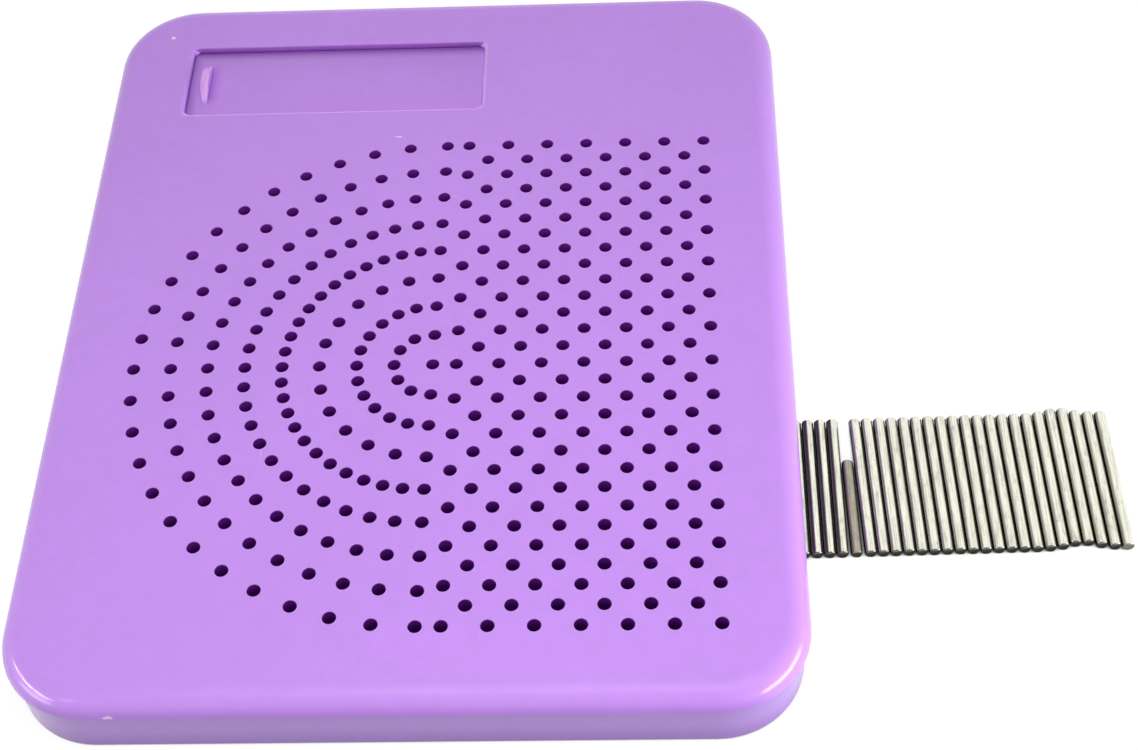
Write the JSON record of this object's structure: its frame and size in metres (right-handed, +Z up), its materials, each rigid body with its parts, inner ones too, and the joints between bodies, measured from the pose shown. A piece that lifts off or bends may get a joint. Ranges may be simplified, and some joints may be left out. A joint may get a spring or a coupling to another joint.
{
  "type": "quilling board",
  "caption": "Rectangular perforated pin board for paper quilling, with sockets in semicircles and a staggered grid, a sliding lid over a pin compartment, and a row of loose steel pins.",
  "frame": {"origin": "centre of the board's underside, on the surface that it stands on", "axes": "+Z up, +Y towards the back edge with the lid, +X to the right, where the pins lie"},
  "size_m": [0.1729, 0.1498, 0.0137],
  "materials": {
    "purple_plastic": "soft satin gloss, moulded",
    "lid_plastic": "satin, moulded",
    "pin_steel": "drawn wire, bright along its length",
    "dull_pin_steel": "drawn wire, dull",
    "screw_steel": "zinc plated"
  },
  "bodies": {
    "board": {"top_shell": "purple_plastic", "bottom_shell": "purple_plastic", "screw_1": "screw_steel", "screw_2": "screw_steel", "screw_3": "screw_steel", "screw_4": "screw_steel"},
    "lid": {"storage_lid": "lid_plastic"},
    "pin_01": {"pin_01": "pin_steel"},
    "pin_02": {"pin_02": "pin_steel"},
    "pin_03": {"pin_03": "pin_steel"},
    "pin_04": {"pin_04": "pin_steel"},
    "pin_05": {"pin_05": "dull_pin_steel"},
    "pin_06": {"pin_06": "pin_steel"},
    "pin_07": {"pin_07": "pin_steel"},
    "pin_08": {"pin_08": "pin_steel"},
    "pin_09": {"pin_09": "pin_steel"},
    "pin_10": {"pin_10": "pin_steel"},
    "pin_11": {"pin_11": "pin_steel"},
    "pin_12": {"pin_12": "pin_steel"},
    "pin_13": {"pin_13": "pin_steel"},
    "pin_14": {"pin_14": "pin_steel"},
    "pin_15": {"pin_15": "pin_steel"},
    "pin_16": {"pin_16": "pin_steel"},
    "pin_17": {"pin_17": "pin_steel"},
    "pin_18": {"pin_18": "pin_steel"},
    "pin_19": {"pin_19": "pin_steel"},
    "pin_20": {"pin_20": "pin_steel"},
    "pin_21": {"pin_21": "pin_steel"},
    "pin_22": {"pin_22": "pin_steel"},
    "pin_23": {"pin_23": "pin_steel"},
    "pin_24": {"pin_24": "pin_steel"},
    "pin_25": {"pin_25": "pin_steel"},
    "pin_26": {"pin_26": "pin_steel"}
  },
  "joints": [
    {"name": "lid_slide", "type": "slide", "parent": "board", "child": "lid", "axis": [1, 0, 0], "range_m": [0, 0.045]},
    {"name": "pin_01_draw", "type": "slide", "parent": "board", "child": "pin_01", "axis": [0, -1, 0], "range_m": [0, 0.028]},
    {"name": "pin_02_draw", "type": "slide", "parent": "board", "child": "pin_02", "axis": [0, -1, 0], "range_m": [0, 0.028]},
    {"name": "pin_03_draw", "type": "slide", "parent": "board", "child": "pin_03", "axis": [0, -1, 0], "range_m": [0, 0.028]},
    {"name": "pin_04_draw", "type": "slide", "parent": "board", "child": "pin_04", "axis": [0, -1, 0], "range_m": [0, 0.028]},
    {"name": "pin_05_draw", "type": "slide", "parent": "board", "child": "pin_05", "axis": [0.0148, -0.9999, 0], "range_m": [0, 0.028]},
    {"name": "pin_06_draw", "type": "slide", "parent": "board", "child": "pin_06", "axis": [0.0297, -0.9996, 0], "range_m": [0, 0.028]},
    {"name": "pin_07_draw", "type": "slide", "parent": "board", "child": "pin_07", "axis": [0.0297, -0.9996, 0], "range_m": [0, 0.028]},
    {"name": "pin_08_draw", "type": "slide", "parent": "board", "child": "pin_08", "axis": [0.0297, -0.9996, 0], "range_m": [0, 0.028]},
    {"name": "pin_09_draw", "type": "slide", "parent": "board", "child": "pin_09", "axis": [0.0297, -0.9996, 0], "range_m": [0, 0.028]},
    {"name": "pin_10_draw", "type": "slide", "parent": "board", "child": "pin_10", "axis": [0.0297, -0.9996, 0], "range_m": [0, 0.028]},
    {"name": "pin_11_draw", "type": "slide", "parent": "board", "child": "pin_11", "axis": [0.0297, -0.9996, 0], "range_m": [0, 0.028]},
    {"name": "pin_12_draw", "type": "slide", "parent": "board", "child": "pin_12", "axis": [0.0297, -0.9996, 0], "range_m": [0, 0.028]},
    {"name": "pin_13_draw", "type": "slide", "parent": "board", "child": "pin_13", "axis": [0.0297, -0.9996, 0], "range_m": [0, 0.028]},
    {"name": "pin_14_draw", "type": "slide", "parent": "board", "child": "pin_14", "axis": [0.0297, -0.9996, 0], "range_m": [0, 0.028]},
    {"name": "pin_15_draw", "type": "slide", "parent": "board", "child": "pin_15", "axis": [0.0297, -0.9996, 0], "range_m": [0, 0.028]},
    {"name": "pin_16_draw", "type": "slide", "parent": "board", "child": "pin_16", "axis": [0.0297, -0.9996, 0], "range_m": [0, 0.028]},
    {"name": "pin_17_draw", "type": "slide", "parent": "board", "child": "pin_17", "axis": [0.0297, -0.9996, 0], "range_m": [0, 0.028]},
    {"name": "pin_18_draw", "type": "slide", "parent": "board", "child": "pin_18", "axis": [0.0297, -0.9996, 0], "range_m": [0, 0.028]},
    {"name": "pin_19_draw", "type": "slide", "parent": "board", "child": "pin_19", "axis": [0.0297, -0.9996, 0], "range_m": [0, 0.028]},
    {"name": "pin_20_draw", "type": "slide", "parent": "board", "child": "pin_20", "axis": [0.0297, -0.9996, 0], "range_m": [0, 0.028]},
    {"name": "pin_21_draw", "type": "slide", "parent": "board", "child": "pin_21", "axis": [0.0297, -0.9996, 0], "range_m": [0, 0.028]},
    {"name": "pin_22_draw", "type": "slide", "parent": "board", "child": "pin_22", "axis": [0.0297, -0.9996, 0], "range_m": [0, 0.028]},
    {"name": "pin_23_draw", "type": "slide", "parent": "board", "child": "pin_23", "axis": [0.0297, -0.9996, 0], "range_m": [0, 0.028]},
    {"name": "pin_24_draw", "type": "slide", "parent": "board", "child": "pin_24", "axis": [0.0297, -0.9996, 0], "range_m": [0, 0.028]},
    {"name": "pin_25_draw", "type": "slide", "parent": "board", "child": "pin_25", "axis": [0.0297, -0.9996, 0], "range_m": [0, 0.028]},
    {"name": "pin_26_draw", "type": "slide", "parent": "board", "child": "pin_26", "axis": [0.0297, -0.9996, 0], "range_m": [0, 0.028]}
  ]
}
